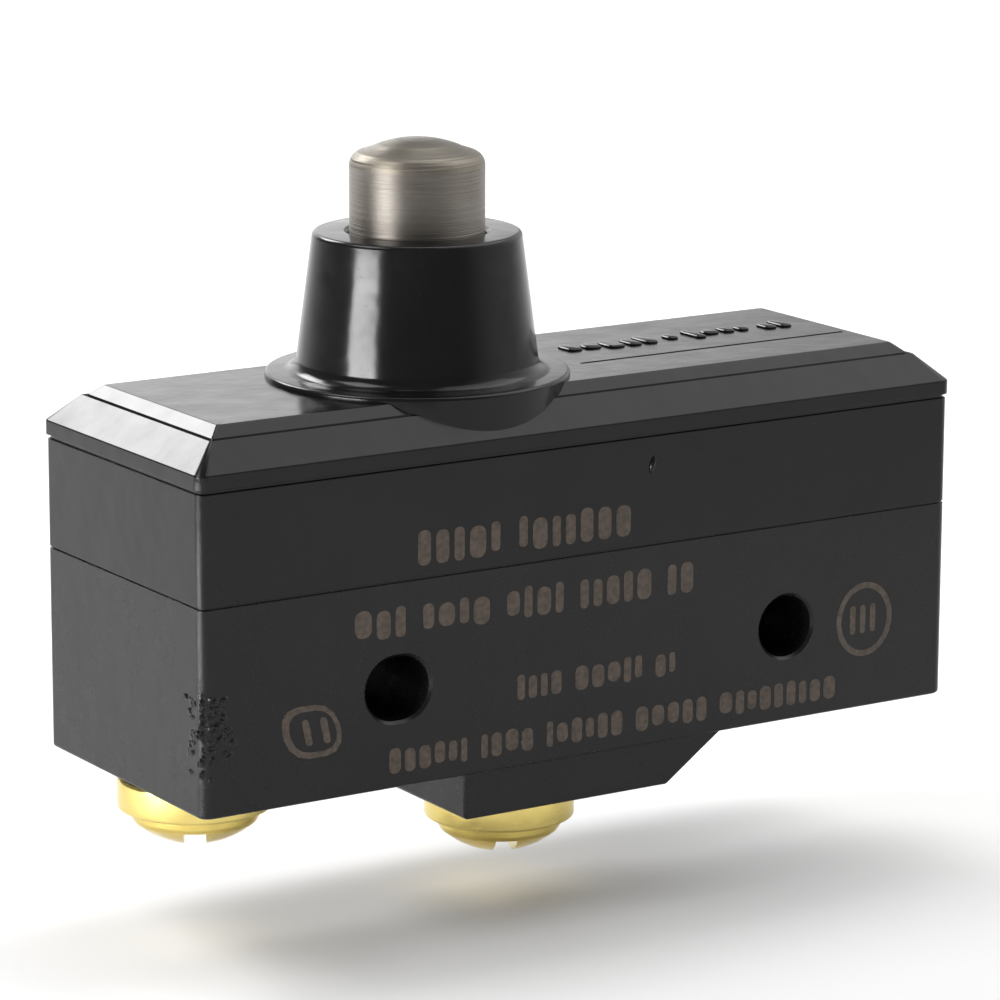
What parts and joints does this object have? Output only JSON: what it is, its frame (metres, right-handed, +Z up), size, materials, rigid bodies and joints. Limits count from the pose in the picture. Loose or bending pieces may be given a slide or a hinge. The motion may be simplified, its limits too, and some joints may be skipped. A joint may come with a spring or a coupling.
{
  "type": "snap-action limit switch",
  "caption": "Black cased snap-action limit switch with a steel overtravel plunger in a conical boss and brass screw terminals below and on one end.",
  "frame": {"origin": "midway between the two mounting-hole axes, at mid-thickness of the case", "axes": "+X along the case from the common terminal's end to the normally closed terminal's end; +Y from the printed front face to the back; +Z up towards the plunger"},
  "size_m": [0.0524, 0.0176, 0.0409],
  "materials": {
    "base_phenolic": "moulded, slightly grained",
    "cover_phenolic": "moulded, semi-gloss",
    "screw_steel": "zinc plated",
    "guide_nylon": "moulded",
    "plunger_steel": "turned, fine rings",
    "spring_steel": "drawn wire",
    "pin_phenolic": "moulded",
    "beryllium_copper": "rolled strip",
    "rivet_brass": "headed",
    "contact_silver": "coined silver",
    "strap_brass": "stamped",
    "insert_brass": "turned",
    "washer_brass": "stamped, bright",
    "terminal_brass": "turned, bright"
  },
  "bodies": {
    "housing": {"base": "base_phenolic", "cover": "cover_phenolic", "cover_screws": "screw_steel", "guide_plate": "guide_nylon", "blade_root": "beryllium_copper", "blade_rivet": "rivet_brass", "spring_anchor": "strap_brass", "anchor_rivet": "rivet_brass", "com_terminal": "strap_brass", "com_insert": "insert_brass", "no_terminal": "strap_brass", "no_contact": "contact_silver", "no_insert": "insert_brass", "nc_terminal": "strap_brass", "nc_contact": "contact_silver", "nc_insert": "insert_brass"},
    "plunger": {"plunger": "plunger_steel", "overtravel_spring": "spring_steel"},
    "drive_pin": {"drive_pin": "pin_phenolic"},
    "blade": {"snap_spring": "beryllium_copper", "moving_contact": "contact_silver"},
    "com_washer": {"com_washer": "washer_brass"},
    "com_screw": {"com_screw": "terminal_brass"},
    "no_washer": {"no_washer": "washer_brass"},
    "no_screw": {"no_screw": "terminal_brass"},
    "nc_washer": {"nc_washer": "washer_brass"},
    "nc_screw": {"nc_screw": "terminal_brass"}
  },
  "joints": [
    {"name": "plunger_slide", "type": "slide", "parent": "housing", "child": "plunger", "axis": [0, 0, -1], "range_m": [0, 0.0049], "stiffness_N_per_m": 400, "springref_m": -0.005, "deforming": ["overtravel_spring"]},
    {"name": "drive_pin_slide", "type": "slide", "parent": "housing", "child": "drive_pin", "axis": [0, 0, -1], "range_m": [0, 0.000305]},
    {"name": "blade_flex", "type": "hinge", "parent": "housing", "child": "blade", "pos_m": [-0.015, 0, 0.008], "axis": [0, 1, 0], "range_deg": [0, 2.1]},
    {"name": "com_washer_slide", "type": "slide", "parent": "housing", "child": "com_washer", "axis": [0, 0, -1], "range_m": [0, 0.00218]},
    {"name": "com_screw_turn", "type": "hinge", "parent": "com_washer", "child": "com_screw", "pos_m": [-0.0203, 0, -0.00545], "axis": [0, 0, -1], "range_deg": [0, 990]},
    {"name": "no_washer_slide", "type": "slide", "parent": "housing", "child": "no_washer", "axis": [0, 0, -1], "range_m": [0, 0.00218]},
    {"name": "no_screw_turn", "type": "hinge", "parent": "no_washer", "child": "no_screw", "pos_m": [-0.0008, 0, -0.009], "axis": [0, 0, -1], "range_deg": [0, 990]},
    {"name": "nc_washer_slide", "type": "slide", "parent": "housing", "child": "nc_washer", "axis": [1, 0, 0], "range_m": [0, 0.00218]},
    {"name": "nc_screw_turn", "type": "hinge", "parent": "nc_washer", "child": "nc_screw", "pos_m": [0.02387, 0, 0], "axis": [1, 0, 0], "range_deg": [0, 990]}
  ],
  "couplings": [
    {"joint": "drive_pin_slide", "follows": "plunger_slide", "ratio": 0.0612},
    {"joint": "blade_flex", "follows": "plunger_slide", "rad_per_m": 7.4},
    {"joint": "com_screw_turn", "follows": "com_washer_slide", "rad_per_m": 7915.8},
    {"joint": "no_screw_turn", "follows": "no_washer_slide", "rad_per_m": 7915.8},
    {"joint": "nc_screw_turn", "follows": "nc_washer_slide", "rad_per_m": 7915.8}
  ]
}
